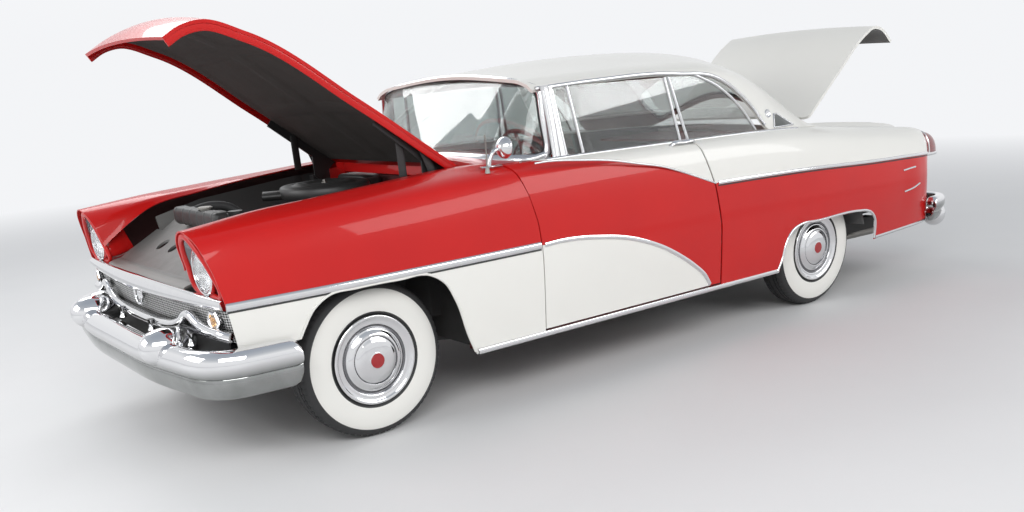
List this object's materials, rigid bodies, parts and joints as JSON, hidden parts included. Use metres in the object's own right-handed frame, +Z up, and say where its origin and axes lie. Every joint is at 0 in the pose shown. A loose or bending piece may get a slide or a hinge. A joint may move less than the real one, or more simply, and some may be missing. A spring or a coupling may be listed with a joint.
{
  "type": "1950s two-door hardtop car",
  "caption": "Full-size two-door hardtop family car of the 1950s with its hood and trunk lid raised, opening doors, steered front wheels and wheels that roll.",
  "frame": {"origin": "on the ground, midway between the bumper tips on the centre line", "axes": "+X forwards, +Y to the car's left, +Z up"},
  "size_m": [5.454, 1.9846, 1.8351],
  "materials": {
    "paint_red": "high gloss enamel, bright red",
    "paint_white": "high gloss enamel, warm white",
    "paint_grey": "satin grey-beige",
    "chassis_black": "satin black, dusty",
    "chrome": "polished chromium plate",
    "grille_silver": "brushed silver",
    "glass": "clear, faintly green",
    "lamp_glass": "ribbed clear glass",
    "lamp_red": "red lens",
    "tyre": "black rubber with a wide white band",
    "seat_trim": "dark red vinyl with sewn channels",
    "steering_red": "glossy dark red",
    "engine_paint": "dark painted cast iron",
    "radiator_black": "satin black",
    "bare_steel": "dull plated steel"
  },
  "bodies": {
    "root": {"front_fender_left": "paint_red", "front_fender_right": "paint_red", "quarter_panel_left": "paint_red", "quarter_panel_right": "paint_red", "cowl": "paint_red", "tail_panel": "paint_red", "dashboard": "paint_red", "roof": "paint_white", "rear_deck": "paint_white", "bay_panels": "paint_grey", "floor_pan": "chassis_black", "trunk_floor": "chassis_black", "chassis_frame": "chassis_black", "front_suspension": "chassis_black", "rear_axle": "chassis_black", "front_bumper": "chrome", "rear_bumper": "chrome", "body_trim": "chrome", "mirror_and_antenna": "chrome", "grille": "grille_silver", "windshield": "glass", "rear_glass": "glass", "headlamps": "lamp_glass", "tail_lamps": "lamp_red", "front_seat": "seat_trim", "rear_seat": "seat_trim", "steering_wheel": "steering_red", "engine": "engine_paint", "radiator": "radiator_black", "exhaust": "bare_steel", "fuel_tank": "bare_steel"},
    "hood": {"hood": "paint_red", "hood_hinges": "bare_steel"},
    "trunk_lid": {"trunk_lid": "paint_white"},
    "door_left": {"door_left": "paint_red", "door_left_glass": "glass"},
    "door_right": {"door_right": "paint_red", "door_right_glass": "glass"},
    "knuckle_left": {"knuckle_left": "chassis_black"},
    "knuckle_right": {"knuckle_right": "chassis_black"},
    "wheel_front_left": {"tyre_front_left": "tyre", "wheel_front_left": "chrome"},
    "wheel_front_right": {"tyre_front_right": "tyre", "wheel_front_right": "chrome"},
    "wheel_rear_left": {"tyre_rear_left": "tyre", "wheel_rear_left": "chrome"},
    "wheel_rear_right": {"tyre_rear_right": "tyre", "wheel_rear_right": "chrome"}
  },
  "joints": [
    {"name": "hood_hinge", "type": "hinge", "parent": "root", "child": "hood", "pos_m": [1.133, 0, 1.161], "axis": [0, 1, 0], "range_deg": [0, 40]},
    {"name": "trunk_hinge", "type": "hinge", "parent": "root", "child": "trunk_lid", "pos_m": [-1.527, 0, 1.058], "axis": [0, -1, 0], "range_deg": [0, 44]},
    {"name": "door_left_hinge", "type": "hinge", "parent": "root", "child": "door_left", "pos_m": [0.933, 0.986, 0.725], "axis": [0, 0, -1], "range_deg": [0, 65]},
    {"name": "door_right_hinge", "type": "hinge", "parent": "root", "child": "door_right", "pos_m": [0.933, -0.986, 0.725], "axis": [0, 0, 1], "range_deg": [0, 65]},
    {"name": "steer_left", "type": "hinge", "parent": "root", "child": "knuckle_left", "pos_m": [1.813, 0.668, 0.352], "axis": [0, 0, 1], "range_deg": [-28, 28]},
    {"name": "steer_right", "type": "hinge", "parent": "root", "child": "knuckle_right", "pos_m": [1.813, -0.668, 0.352], "axis": [0, 0, 1], "range_deg": [-28, 28]},
    {"name": "spin_front_left", "type": "hinge", "parent": "knuckle_left", "child": "wheel_front_left", "pos_m": [1.813, 0.758, 0.352], "axis": [0, 1, 0], "continuous": true},
    {"name": "spin_front_right", "type": "hinge", "parent": "knuckle_right", "child": "wheel_front_right", "pos_m": [1.813, -0.758, 0.352], "axis": [0, 1, 0], "continuous": true},
    {"name": "spin_rear_left", "type": "hinge", "parent": "root", "child": "wheel_rear_left", "pos_m": [-1.286, 0.77, 0.352], "axis": [0, 1, 0], "continuous": true},
    {"name": "spin_rear_right", "type": "hinge", "parent": "root", "child": "wheel_rear_right", "pos_m": [-1.286, -0.77, 0.352], "axis": [0, 1, 0], "continuous": true}
  ],
  "couplings": [
    {"joint": "steer_right", "follows": "steer_left", "ratio": 1}
  ]
}
